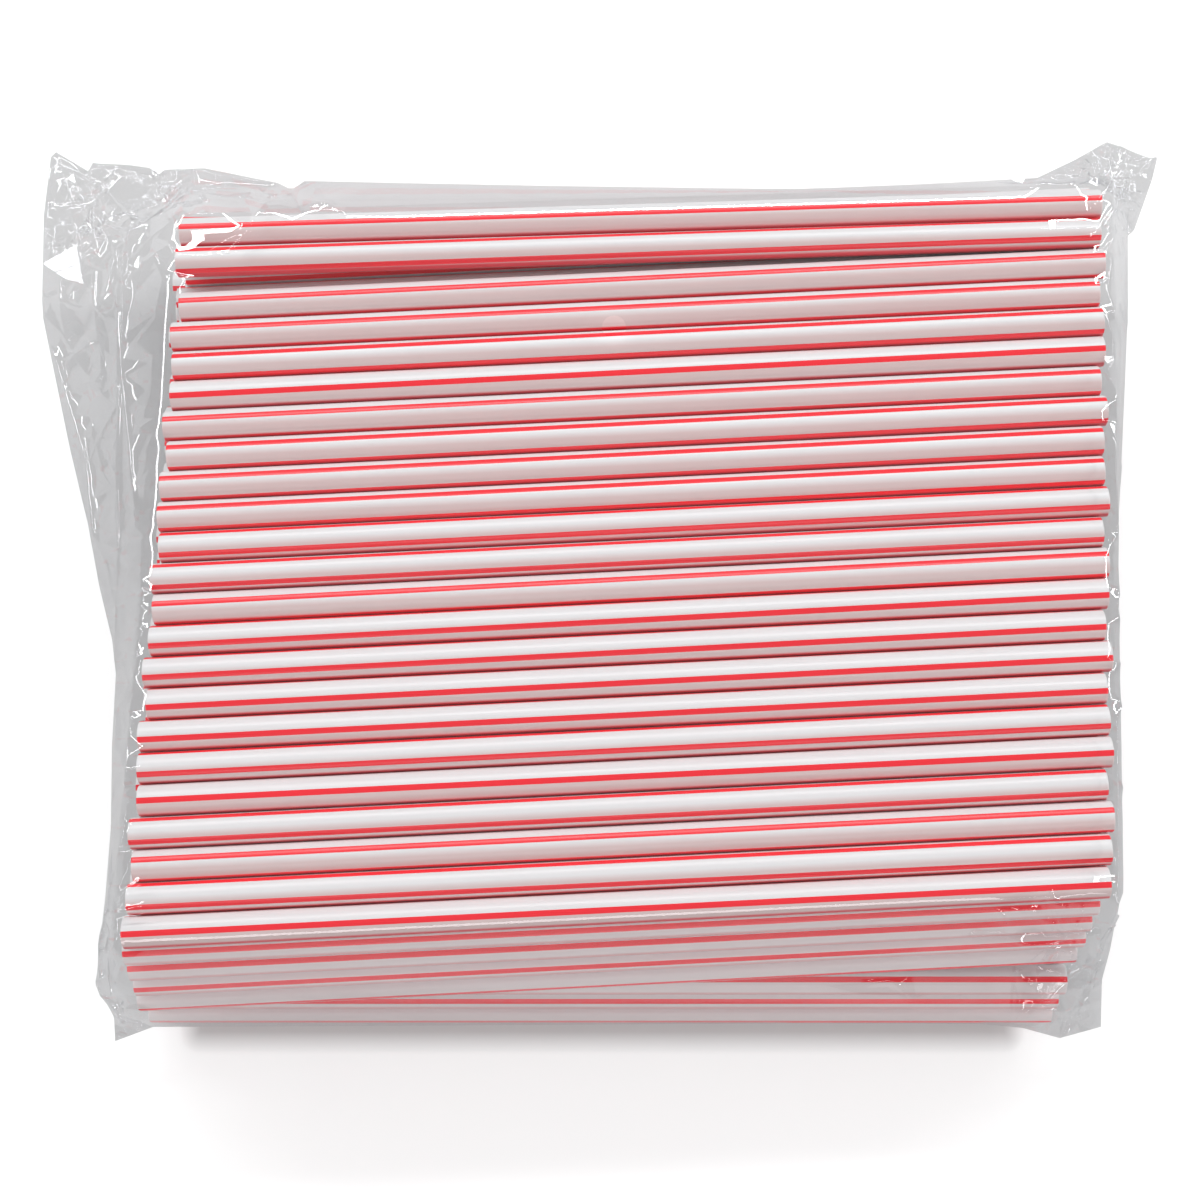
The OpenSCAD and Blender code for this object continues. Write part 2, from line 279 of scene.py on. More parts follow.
# Sharp folds of the slack film: how strongly each stands up, then its places from above.
FOLDS = [
    (1.0, [(-125.9, 97.4), (-123.2, 94.2), (-118.6, 92.5), (-117.1, 92.2)]),
    (0.8, [(-123.2, 94.2), (-121.6, 88.8), (-118.5, 91.3)]),
    (1.0, [(-121.6, 88.8), (-119.8, 82.5), (-116.2, 74), (-114.8, 70.5), (-112.4, 67.8)]),
    (0.6, [(-120.2, 90.7), (-116.8, 82), (-108.8, 72.2)]),
    (0.6, [(-117.1, 92.2), (-116.7, 90.4), (-110.9, 86.3), (-103.4, 77.9)]),
    (0.5, [(-116.7, 90.4), (-109.3, 77.1), (-105.4, 74.4), (-104.3, 77.9), (-98.5, 76.9)]),
    (0.7, [(-125.7, 78.7), (-123.5, 73.6), (-118.9, 71.6), (-112.4, 67.8)]),
    (0.9, [
        (-115.9, 73.9), (-113.9, 76.5), (-110.3, 74.8), (-108.8, 72.2), (-110.7, 68.8),
        (-112.4, 67.8),
    ]),
    (0.5, [(-108.8, 72.2), (-105, 68.9), (-103.9, 65.2), (-103.2, 61.5)]),
    (1.0, [
        (-103.2, 61.5), (-103.4, 67.3), (-101.9, 71.7), (-97.2, 75.4), (-95.2, 78.2), (-94, 84.9),
        (-92.7, 91.8), (-93.1, 94.1),
    ]),
    (0.7, [(-102.4, 60.5), (-99, 62.5), (-94.4, 65.1), (-90.9, 65.8), (-89.7, 63.6)]),
    (0.8, [(-104.3, 55.6), (-104.1, 44.4), (-103.3, 33.1), (-103.8, 22.2), (-103.2, 7.5)]),
    (1.0, [
        (-103.2, 61.5), (-102.7, 51.8), (-103.1, 44.1), (-100.6, 29.5), (-98.9, 18.1),
        (-95.6, 5.2),
    ]),
    (1.0, [(-122.8, 50.8), (-118.3, 38.1), (-113.3, 24.8), (-112, 10)]),
    (0.7, [(-126.1, 64), (-121.3, 61.6), (-116, 58.9)]),
    (0.4, [(-125.7, 59.5), (-120.5, 54.2), (-112.1, 41.5), (-103.8, 32.5)]),
    (0.8, [(-116.4, 95.1), (-104.3, 92.4), (-103.1, 92.2), (-96.2, 93.4), (-93.1, 94.1)]),
    (0.9, [(-92.8, 94), (-86.9, 92.4), (-80.4, 91.6), (-75.1, 91), (-70.5, 86.3)]),
    (0.6, [(-80.4, 91.5), (-72.5, 79.3), (-70.2, 85.6)]),
    (0.5, [(-101.9, 91.1), (-94.1, 88.2), (-83.3, 81.5), (-72.7, 78.9)]),
    (0.9, [(-70.4, 88.3), (-70, 90.8), (-68.1, 91), (-54.9, 73.4)]),
    (0.8, [(-68.7, 83.5), (-64.2, 77.7), (-59.1, 76.3), (-55.1, 73.3)]),
    (0.9, [(-70.2, 85.6), (-70.6, 78.5), (-72.6, 73.1), (-74.4, 69), (-78.1, 63.6)]),
    (0.5, [(-78.1, 63.6), (-82.9, 64), (-79.3, 66.7), (-74.4, 69.1)]),
    (0.4, [(-103, 92.1), (-101.3, 89.2), (-95.5, 82), (-87.8, 73)]),
    (0.5, [(-92.6, 91.8), (-88.7, 83.7), (-83.4, 73.1)]),
    (0.6, [(-95, 64.4), (-92.7, 59.1), (-87, 58.9), (-87.4, 56.5)]),
    (0.5, [(-124.7, 86), (-127, 82.3)]),
    (0.6, [(-111.6, 65.5), (-111.6, 58.1), (-107.9, 54.6), (-104.7, 56.3), (-104.6, 61.3)]),
    (0.8, [(93.8, 79.7), (104.8, 92.7), (108, 93.3), (109.9, 92.8), (111.8, 90.7)]),
    (0.6, [(103.6, 89.7), (99.7, 79.8), (108, 91.8), (109.9, 92.7)]),
    (0.7, [(115.5, 100.6), (113.9, 96.2), (115.4, 93.8), (112, 90.8)]),
    (0.7, [(118.6, 99.8), (115.8, 96.8)]),
    (0.8, [(117.9, 98.3), (119.2, 93.1), (120.1, 90.6), (118, 81.4), (119.2, 78.9)]),
    (0.9, [(118.5, 77.3), (118.2, 70), (118.3, 57.6)]),
    (0.6, [(118.1, 98.3), (124.3, 96.1)]),
    (0.7, [(120.2, 95.2), (122.4, 95.9), (124.7, 94.1), (123, 91.5), (120.3, 92.9)]),
    (0.8, [(104.9, 74.3), (114.1, 88.6), (117.8, 92.8)]),
    (0.9, [(105, 68.3), (111.3, 78.5), (120.6, 92.4)]),
    (0.8, [(106.5, 64.9), (114.5, 73.7), (120.3, 80.5), (124, 86.6)]),
    (0.9, [(106.6, 69.6), (115.7, 84.5), (122.6, 92.6)]),
    (0.5, [(107, 59.9), (114.2, 67.4), (117.1, 71.9)]),
    (0.5, [(106, 57.3), (113.6, 62.9), (117.8, 68.6)]),
    (0.7, [(107.7, 51.2), (110.9, 54.8), (116.7, 55.8), (107.7, 51.2)]),
    (0.5, [(106.1, 50.6), (107.4, 44.3), (111.9, 47), (105.6, 38.4)]),
    (0.8, [(113.3, 49.2), (111, 35.9), (109.6, 17.6)]),
    (0.5, [(-102.9, -68.9), (-94.7, -67.7), (-93.3, -64.6), (-92.4, -61.2)]),
    (0.6, [(-103.5, -73.1), (-93.9, -71.7), (-93.2, -69.6)]),
    (0.7, [(-103.4, -73.2), (-94.2, -76.2), (-93.9, -78.6)]),
    (0.7, [(-104.2, -80.5), (-96, -79.6), (-104.4, -85.2)]),
    (0.8, [(-106.6, -88), (-100.8, -85.6), (-95.8, -83.3), (-92.6, -81.6)]),
    (0.9, [(-106.8, -88.3), (-105, -94.7), (-101.2, -91.7), (-96.3, -84.5)]),
    (0.8, [(-101.2, -98.7), (-103.6, -98), (-101.5, -96.8)]),
    (0.7, [(-105, -94.8), (-98, -97.8)]),
    (0.7, [(-104.3, -94.4), (-98.4, -92.5), (-98.2, -94.9), (-94.6, -95.9)]),
    (0.8, [(107.3, -85.2), (102.9, -85.2), (102.1, -86.9), (96.4, -85.9), (92.1, -84.2)]),
    (1.0, [(107.1, -85.6), (103.2, -90.8), (101.4, -95.5), (101.1, -99.4)]),
    (0.9, [(103.9, -91.4), (108.8, -96.9)]),
    (0.9, [(102.6, -98), (105, -94.6), (103.6, -91.5)]),
    (0.7, [(99.3, -70.5), (100.3, -74.5), (103.3, -78.7), (105.3, -83.1), (103.1, -85.2)]),
    (0.5, [(96.7, -81.2), (99.5, -82.9), (100.3, -83.9), (98.6, -85.5)]),
    (0.6, [(96, -92.5), (97.2, -91.2), (99.5, -94.8), (100.2, -97.8)]),
    (0.5, [(102.7, -75.8), (107.6, -76.1)]),
    (0.5, [(104.7, -79.8), (108, -80.5)]),
    (0.6, [(66.4, -90.9), (61, -86.8), (57.2, -87.3)]),
    (0.5, [(66.3, -91), (62.7, -89.6), (54.8, -89.4)]),
    (0.3, [(67, -78.7), (79.3, -75.8), (93.2, -73.3), (96.9, -68.6)]),
    (0.3, [(79.2, -79.9), (83.8, -82.4), (91.9, -83.4), (95.9, -85.4)]),
    (0.8, [
        (-114, 12.5), (-112.6, 10.2), (-107.7, 2.6), (-105.8, -3.5), (-104, -8.5),
        (-105.4, -14.8),
    ]),
    (0.9, [
        (-103, 13.9), (-102.8, 3.1), (-103.6, -5.3), (-104.7, -14.4), (-105.5, -19),
        (-105.7, -23.9),
    ]),
    (0.6, [(-101.9, -9.1), (-101.6, -15.8)]),
    (0.6, [(-110.3, -2.3), (-102.7, -5), (-98, -6), (-93, -7.8)]),
    (0.6, [(-109.1, -6.9), (-104.3, -7.9), (-98.9, -9.6), (-92.7, -11.6)]),
    (0.6, [(-106.8, -14.4), (-102.2, -15.6), (-96.5, -15.8), (-92.7, -16.1)]),
    (0.5, [(-103, 2.9), (-98.2, -1.6), (-101.7, -4.4)]),
    (0.5, [(-98.2, -1.6), (-95.8, 0)]),
    (0.6, [(-100.4, -17.3), (-94.2, -20.6), (-93.1, -22.1), (-101, -19.4)]),
    (0.6, [
        (-101.6, -21.4), (-96.3, -26.6), (-99.1, -28.7), (-95.2, -32.6), (-93.2, -35.6),
        (-95.6, -37.4), (-98.1, -34.7),
    ]),
    (0.4, [(-95.7, -26.5), (-92.5, -25.4)]),
    (1.0, [
        (-98.9, -29.9), (-104.3, -30), (-102.5, -32.7), (-102.6, -38.5), (-97.9, -41.3),
        (-97.1, -42.9),
    ]),
    (0.7, [(-93.6, -44.8), (-98.5, -44.6), (-102.9, -46.2), (-103.8, -48.9)]),
    (0.6, [(-94.5, -43.9), (-95, -47.5), (-93.6, -50.3), (-94.1, -54), (-104.4, -54.6)]),
    (0.5, [(-92.7, -54.9), (-96.4, -62)]),
    (0.5, [(-103.9, -59.8), (-94.8, -59.6), (-94.1, -54.7)]),
    (0.7, [
        (106.8, 23.8), (106.3, 14.8), (106.7, 6.4), (109.1, -1.3), (105.3, -11.6), (107.4, -16.2),
        (109.4, -24.6), (104.1, -34.8), (103.5, -51.7), (102.8, -66.6),
    ]),
    (0.4, [(105.1, 8.2), (110.6, 11.5)]),
    (0.4, [(104.8, 1.9), (110.3, 5.1)]),
]
# Marks of the film's points: between folds, on the rounded top of a fold, or on the taut film.
CREASED, ROUNDED, TAUT = 0, 1, 2
# A fold is a tent with a narrow bead on its top line: half width and height of both.
TENT, TENT_HEIGHT = 3.0, 0.8
BEAD, BEAD_HEIGHT = 0.5, 0.7
BEAD_REACH = 1.1 * BEAD
# Step along a fold, its room to the bag's outline, and the cell size for finding the folds near by.
FOLD_STEP = 3.0
FOLD_ROOM = 0.4
FOLD_CELL = 6
# The corner ears start this far from the middle line. Their film is crumpled more than that of the
# strips at the straw ends, and a little on the beads of the folds as well.
EAR_FROM = 72
EAR_CRUMPLE = 3.0
STRIP_CRUMPLE = 0.4
BEAD_CRUMPLE = 0.4
CRUMPLE_POWER = 0.6
TAUT_SHARE = 0.1
CORNER_PEAK = 0.3
# Places full of small crinkles: lowest and highest x, lowest and highest y, how many, how strong.
CRINKLED = [
    (102, 124, 80, 97, 34, 1.2), (88, 108, -98, -76, 26, 1.6), (-124, -92, 62, 94, 40, 0.65),
    (-122, -106, 5, 60, 14, 0.65), (-106, -99, -97, -72, 12, 1.3), (109, 118, -60, 75, 12, 0.65),
]
# Length of a crinkle's steps, its bend at each step, and the spread of its strength.
CRINKLE_STEP = (3, 8)
CRINKLE_BEND = 0.6
CRINKLE_SPREAD = (0.6, 1.4)
VENT = (2.9, 48.0)
VENT_R = 2.5
VENT_STEPS = 32
# Spacing of the outline's points and of the scattered ones: in the ears, in the strips, and under
# the ends and the middle of the pile.
OUTLINE_STEP = 3.0
EAR_SPACING, STRIP_SPACING = 3.6, 5.5
UNDER_END_SPACING, UNDER_SPACING = 8.0, 24.0
# The strips start this far outside the straw ends, and the ends under the pile this far inside.
STRIP_START, UNDER_END_START = 2.5, 4
LEFT_EAR_FROM, UNDER_EDGE = -70, 80
# Scatter: cell size, tries, half size of the field, most points, and room to the outline as a
# share of the spacing.
SCATTER_CELL = 3.0
SCATTER_TRIES = 60000
FIELD_X, FIELD_Y = 128, 101
MOST_POINTS = 5000
OUTLINE_ROOM = 0.45
# The line where the film leaves the straw ends: from, to, step, and room outside the ends.
RIM_FROM, RIM_TO, RIM_STEP, RIM_ROOM = -94.0, 88, 3.6, 0.4
# Places along the straws where the taut film has points, and their shift under the pile.
ALONG = [-96 + 12 * k for k in range(17)]
UNDER_SHIFT = 5


def resample(line, step, closed=False):
    """Points along a line of 3-D points, at most a step apart, with every corner kept."""
    line = [Vector(p) for p in line]
    pairs = list(zip(line, line[1:] + line[:1])) if closed else list(zip(line, line[1:]))
    points = []
    for a, b in pairs:
        count = max(1, math.ceil((b - a).length / step))
        points += [a.lerp(b, k / count) for k in range(count)]
    return points if closed else points + [line[-1]]


class Outline:
    """The bag's closed edge, with the distance and the height of the nearest point on it."""

    def __init__(self, points):
        self.pairs = list(zip(points, points[1:] + points[:1]))

    def nearest(self, x, y):
        best = (1e9, 0.0)
        for a, b in self.pairs:
            dx, dy = b.x - a.x, b.y - a.y
            t = ((x - a.x) * dx + (y - a.y) * dy) / max(dx * dx + dy * dy, 1e-9)
            t = min(1.0, max(0.0, t))
            d = math.hypot(x - a.x - t * dx, y - a.y - t * dy)
            if d < best[0]:
                best = (d, a.z + t * (b.z - a.z))
        return best

    def holds(self, x, y):
        inside = False
        for a, b in self.pairs:
            if (a.y > y) != (b.y > y) and x < a.x + (b.x - a.x) * (y - a.y) / (b.y - a.y):
                inside = not inside
        return inside


def film_height(outline, x, y, over):
    """Height of the film at a place, over the pile or under it, and its share of the way out."""
    px = x - PILE_X
    held = min(HALF_LEN, max(-HALF_LEN, px))
    z = lookup(y, top_profile(held) if over else UNDER_PROFILE)
    side = 1 if px > 0 else -1
    past = side * (px - rim_x(side, y, z))
    if past <= 0:
        return z, 0.0
    distance, edge_z = outline.nearest(x, y)
    share = past / (past + max(distance - 0.01, 0.0)) if past + distance > 0.01 else 1.0
    return z + (edge_z - z) * share, share


class Folds:
    """Finds how far the nearest folds lift the film at a place."""

    def __init__(self, folds):
        parts = []
        for strength, line in folds:
            parts += [(strength, a, b) for a, b in zip(line, line[1:])]
        self.cells = {}
        for part in parts:
            across, along = self.reach(part, 0), self.reach(part, 1)
            for i in across:
                for j in along:
                    self.cells.setdefault((i, j), []).append(part)

    @staticmethod
    def reach(part, axis):
        """The cells that a part of a fold can lift, on one axis."""
        low, high = sorted((part[1][axis], part[2][axis]))
        return range(int((low - TENT) // FOLD_CELL), int((high + TENT) // FOLD_CELL) + 1)

    def lift(self, x, y):
        """Height in mm, and whether the place is on the rounded top of a fold."""
        best, bead = 0.0, False
        for strength, a, b in self.cells.get((int(x // FOLD_CELL), int(y // FOLD_CELL)), ()):
            dx, dy = b[0] - a[0], b[1] - a[1]
            t = ((x - a[0]) * dx + (y - a[1]) * dy) / max(dx * dx + dy * dy, 1e-9)
            t = min(1.0, max(0.0, t))
            d = math.hypot(x - a[0] - t * dx, y - a[1] - t * dy)
            if d < TENT:
                height = TENT_HEIGHT * (1 - d / TENT) + BEAD_HEIGHT * max(0.0, 1 - d / BEAD)
                best = max(best, strength * height)
            bead = bead or d < BEAD_REACH
        return best, bead


def crinkles():
    """Short folds in random directions, in the same form as the folds."""
    rng = random.Random(7)
    found = []
    for left, right, front, back, count, strength in CRINKLED:
        for _ in range(count):
            x, y, turn = rng.uniform(left, right), rng.uniform(front, back), rng.uniform(0, math.pi)
            line = [(x, y)]
            for _ in range(2):
                reach = rng.uniform(*CRINKLE_STEP)
                x, y = x + reach * math.cos(turn), y + reach * math.sin(turn)
                turn += rng.uniform(-CRINKLE_BEND, CRINKLE_BEND)
                line.append((x, y))
            found.append((strength * rng.uniform(*CRINKLE_SPREAD), line))
    return found


def fold_lines(outline, folds):
    """Each fold as a top line with a foot line on both sides, kept inside the outline."""
    lines = []
    for _, line in folds:
        run = resample([(x, y, 0) for x, y in line], FOLD_STEP)
        for offset in (-BEAD, 0.0, BEAD):
            parts = [[]]
            for k, point in enumerate(run):
                before, after = run[max(k - 1, 0)], run[min(k + 1, len(run) - 1)]
                along = (after - before).normalized()
                x, y = point.x - along.y * offset, point.y + along.x * offset
                if outline.holds(x, y) and outline.nearest(x, y)[0] > FOLD_ROOM:
                    parts[-1].append((x, y))
                else:
                    parts.append([])
            lines += [part for part in parts if len(part) > 1]
    return lines


def scatter(outline, rng, spacing):
    """Random places inside the outline, no two closer than the spacing that applies there."""
    grid = {}
    places = []
    for _ in range(SCATTER_TRIES):
        x = rng.uniform(-FIELD_X, FIELD_X)
        y = rng.uniform(-FIELD_Y, FIELD_Y)
        gap = spacing(x, y)
        if gap is None:
            continue
        reach = math.ceil(gap / SCATTER_CELL)
        cx, cy = int(x // SCATTER_CELL), int(y // SCATTER_CELL)
        near = any(
            math.hypot(x - ox, y - oy) < gap
            for i in range(cx - reach, cx + reach + 1)
            for j in range(cy - reach, cy + reach + 1)
            for ox, oy in grid.get((i, j), ())
        )
        if near or not outline.holds(x, y) or outline.nearest(x, y)[0] < gap * OUTLINE_ROOM:
            continue
        grid.setdefault((cx, cy), []).append((x, y))
        places.append((x, y))
        if len(places) >= MOST_POINTS:
            break
    return places


def sheet_faces(loop, lines, loose):
    """Triangulates one sheet of film. Returns its places, triangles and each place's sources."""
    places = [Vector((p[0], p[1])) for p in loop]
    edges = []
    for line in lines:
        start = len(places)
        places += [Vector((p[0], p[1])) for p in line]
        edges += [(start + k, start + k + 1) for k in range(len(line) - 1)]
    places += [Vector(p) for p in loose]
    ring = list(range(len(loop)))
    found = delaunay_2d_cdt(places, edges, [ring], 1, 1e-4)
    return found[0], [tuple(f) for f in found[2]], found[3]


def end_lines(side, over):
    """The line along which the film leaves the straw ends."""
    line = []
    y = RIM_FROM
    while y < RIM_TO:
        z = lookup(y, top_profile(side * HALF_LEN) if over else UNDER_PROFILE)
        line.append((PILE_X + rim_x(side, y, z) + side * RIM_ROOM, y))
        y += RIM_STEP
    return line


def body_lines(over):
    """Lines over the taut part of the bag, along the straws and along each long edge."""
    if not over:
        return [[(PILE_X - UNDER_SHIFT + x, y) for x in ALONG] for y, _ in UNDER_PROFILE[1:-1]]
    profiles = [(PILE_X + x, top_profile(x)) for x in ALONG]
    lines = []
    # A line on each straw of the top layer and one between it and the next.
    for half_row in range(2 * TOP_ROWS - 1):
        share = half_row / 2 / (TOP_ROWS - 1)
        line = []
        for x, profile in profiles:
            first, last = profile[5][0] + 1.0, profile[6][0] - 0.8
            line.append((x, first + (last - first) * share))
        lines.append(line)
    for index in (1, 2, 3, 4, 7, 8):
        lines.append([(x, profile[index][0]) for x, profile in profiles])
    return lines


def build_film(crumple):
    """Points, triangles, a mark for each point, and the folds; the upper sheet comes first."""
    rng = random.Random(11)
    edge = resample(OUTLINE, OUTLINE_STEP, closed=True)
    outline = Outline([Vector(p) for p in OUTLINE])
    vent = []
    for k in range(VENT_STEPS + 1):
        angle = k * math.pi / (VENT_STEPS / 2)
        vent.append((VENT[0] + VENT_R * math.cos(angle), VENT[1] + VENT_R * math.sin(angle)))
    creases = FOLDS + crinkles()
    folds = Folds(creases)

    def spacing(x, y):
        px = x - PILE_X
        if abs(px) > HALF_LEN + STRIP_START or (px < -HALF_LEN and y < LEFT_EAR_FROM):
            return EAR_SPACING if abs(y) > EAR_FROM else STRIP_SPACING
        return None

    def under_spacing(x, y):
        if abs(x - PILE_X) > HALF_LEN - UNDER_END_START:
            return UNDER_END_SPACING
        return UNDER_SPACING if abs(y) < UNDER_EDGE else None

    points, faces, marks, ids = [], [], [], {}
    for over in (True, False):
        loose = scatter(outline, rng, spacing if over else under_spacing)
        lines = body_lines(over) + [end_lines(-1, over), end_lines(1, over)]
        if over:
            lines += fold_lines(outline, creases) + [vent]
        places, triangles, origins = sheet_faces(edge, lines, loose)
        local = []
        for place, origin in zip(places, origins):
            border = [k for k in origin if k < len(edge)]
            if border:
                key = border[0]
                if key not in ids:
                    ids[key] = len(points)
                    points.append(edge[key].copy())
                    marks.append(CREASED)
                local.append(ids[key])
                continue
            z, share = film_height(outline, place.x, place.y, over)
            in_ear = abs(place.y) > EAR_FROM
            lift = 0.0
            if share > 0:
                strength = EAR_CRUMPLE if in_ear else STRIP_CRUMPLE
                lift = crumple * strength * math.sin(math.pi * share) ** CRUMPLE_POWER
            fold, bead = folds.lift(place.x, place.y) if over else (0.0, False)
            kept = (BEAD_CRUMPLE if in_ear else 0.0) if bead else 1.0
            shift = rng.uniform(-1, 1) * lift * kept
            local.append(len(points))
            points.append(Vector((place.x, place.y, max(0.0, z + shift + fold))))
            marks.append(TAUT if share < TAUT_SHARE else ROUNDED if bead else CREASED)
        on_edge = set(ids.values())
        for triangle in triangles:
            middle = sum((places[k] for k in triangle), Vector((0, 0))) / 3
            if over and math.hypot(middle.x - VENT[0], middle.y - VENT[1]) < VENT_R:
                continue
            a, b, c = (local[k] for k in triangle)
            if over and all(k in on_edge for k in (a, b, c)):
                # A corner that both sheets cut off in the same way gets a small peak, to part them.
                peak = len(points)
                points.append((points[a] + points[b] + points[c]) / 3 + Vector((0, 0, CORNER_PEAK)))
                marks.append(CREASED)
                faces += [(a, b, peak), (b, c, peak), (c, a, peak)]
            else:
                faces.append((a, b, c) if over else (c, b, a))
    return points, faces, marks, folds


# ---- materials ------------------------------------------------------------------------------


# Scale of the streaks in the plastic, along the straws and across them.
STREAKS_ALONG, STREAKS_ACROSS = 6.0, 900.0
# Tone of the streaks as a share of the plastic's own, and the roughness of the plastic.
WHITE_STREAKS, RED_STREAKS = 0.965, 0.93
WHITE_ROUGHNESS, RED_ROUGHNESS = 0.3, 0.26
ROUGHNESS_DOWN, ROUGHNESS_UP = 0.05, 0.08
STREAK_BUMP, STREAK_DEPTH = 0.12, 0.00005
# Painted shade on the straws, in place of the shade and of the red light bounced off the next
# straws' stripes: where the shaded flank starts and ends, by how far the surface faces back, then
# the places on it where the painted pink shade lies and where the painted shade of the gap between
# two straws starts, and the tones of that painted gap shade.
FLANK_FROM, FLANK_TO = 0.05, -1.0
PAINTED_SHADE_PLACES = (0.35, 0.82)
GAP_PLACE = 0.93
PAINTED_GAP_SHADE = (0.9, 0.07, 0.09)
FRONT_PAINTED_GAP_SHADE = (0.9, 0.5, 0.5)
FILM_MIRROR_TONE = (0.97, 0.98, 1.0)
FILM_ROUGHNESS = 0.03
FILM_WAVES, FILM_BUMP, FILM_WAVE_DEPTH = 90.0, 0.05, 0.0004
# The film's shading breaks at edges sharper than this, outside the taut parts and the beads.
SHARP_ANGLE = math.radians(3)


def new_material(name):
    material = bpy.data.materials.new(name)
    material.use_nodes = True
    nodes = material.node_tree.nodes
    nodes.clear()
    output = nodes.new("ShaderNodeOutputMaterial")
    return material, nodes, material.node_tree.links, output


def streak_group():
    """Faint lengthwise streaks of extruded plastic, as a mask and a height."""
    group = bpy.data.node_groups.get("Extrusion streaks")
    if group:
        return group
    group = bpy.data.node_groups.new("Extrusion streaks", "ShaderNodeTree")
    face = group.interface
    for name, value in (("Along", STREAKS_ALONG), ("Across", STREAKS_ACROSS)):
        face.new_socket(name, in_out="INPUT", socket_type="NodeSocketFloat").default_value = value
    for name in ("Mask", "Height"):
        face.new_socket(name, in_out="OUTPUT", socket_type="NodeSocketFloat")
    nodes, links = group.nodes, group.links
    entry = nodes.new("NodeGroupInput")
    leave = nodes.new("NodeGroupOutput")
    place = nodes.new("ShaderNodeTexCoord")
    stretch = nodes.new("ShaderNodeCombineXYZ")
    scale = nodes.new("ShaderNodeVectorMath")
    scale.operation = "MULTIPLY"
    noise = nodes.new("ShaderNodeTexNoise")
    noise.inputs["Scale"].default_value = 1.0
    noise.inputs["Detail"].default_value = 1.0
    links.new(entry.outputs["Along"], stretch.inputs["X"])
    links.new(entry.outputs["Across"], stretch.inputs["Y"])
    links.new(entry.outputs["Across"], stretch.inputs["Z"])
    links.new(place.outputs["Object"], scale.inputs[0])
    links.new(stretch.outputs[0], scale.inputs[1])
    links.new(scale.outputs[0], noise.inputs["Vector"])
    links.new(noise.outputs["Fac"], leave.inputs["Mask"])
    links.new(noise.outputs["Fac"], leave.inputs["Height"])
    return group


def plastic_material(name, light, dark, roughness, shaded=None):
    """Glossy extruded plastic in two close tones; shaded: painted shade tones for flank and gap."""
    material, nodes, links, output = new_material(name)
    shader = nodes.new("ShaderNodeBsdfPrincipled")
    streaks = nodes.new("ShaderNodeGroup")
    streaks.node_tree = streak_group()
    streaks.inputs["Along"].default_value = STREAKS_ALONG
    streaks.inputs["Across"].default_value = STREAKS_ACROSS
    tone = nodes.new("ShaderNodeMix")
    tone.data_type = "RGBA"
    tone.inputs["A"].default_value = (*dark, 1)
    tone.inputs["B"].default_value = (*light, 1)
    rough = nodes.new("ShaderNodeMapRange")
    rough.inputs["To Min"].default_value = roughness - ROUGHNESS_DOWN
    rough.inputs["To Max"].default_value = roughness + ROUGHNESS_UP
    links.new(streaks.outputs["Mask"], tone.inputs["Factor"])
    colour = tone.outputs["Result"]
    if shaded:
        # Painted shade: the flank facing the front, away from the back lamp, is tinted pink in
        # place of the red light that the next straws' stripes bounce onto it, more the nearer it is
        # to the gap between two straws, where it turns to a dark red painted shade.
        flank_shade_tone, gap_shade_tone = shaded
        facing = nodes.new("ShaderNodeTexCoord")
        axes = nodes.new("ShaderNodeSeparateXYZ")
        flank = nodes.new("ShaderNodeMapRange")
        flank.inputs["From Min"].default_value = FLANK_FROM
        flank.inputs["From Max"].default_value = FLANK_TO
        ramp = nodes.new("ShaderNodeValToRGB")
        stops = ramp.color_ramp.elements
        stops[0].position, stops[0].color = 0.0, (1, 1, 1, 1)
        stops[1].position, stops[1].color = GAP_PLACE, (*gap_shade_tone, 1)
        for place in PAINTED_SHADE_PLACES:
            stops.new(place).color = (*flank_shade_tone, 1)
        painted_shade_mix = nodes.new("ShaderNodeMix")
        painted_shade_mix.data_type = "RGBA"
        painted_shade_mix.blend_type = "MULTIPLY"
        painted_shade_mix.inputs["Factor"].default_value = 1.0
        links.new(facing.outputs["Normal"], axes.inputs[0])
        links.new(axes.outputs["Y"], flank.inputs["Value"])
        links.new(flank.outputs["Result"], ramp.inputs["Fac"])
        links.new(colour, painted_shade_mix.inputs["A"])
        links.new(ramp.outputs["Color"], painted_shade_mix.inputs["B"])
        colour = painted_shade_mix.outputs["Result"]
    links.new(colour, shader.inputs["Base Color"])
    links.new(streaks.outputs["Mask"], rough.inputs["Value"])
    links.new(rough.outputs["Result"], shader.inputs["Roughness"])
    if shaded:
        bump = nodes.new("ShaderNodeBump")
        bump.inputs["Strength"].default_value = STREAK_BUMP
        bump.inputs["Distance"].default_value = STREAK_DEPTH
        links.new(streaks.outputs["Height"], bump.inputs["Height"])
        links.new(bump.outputs["Normal"], shader.inputs["Normal"])
    links.new(shader.outputs[0], output.inputs["Surface"])
    return material


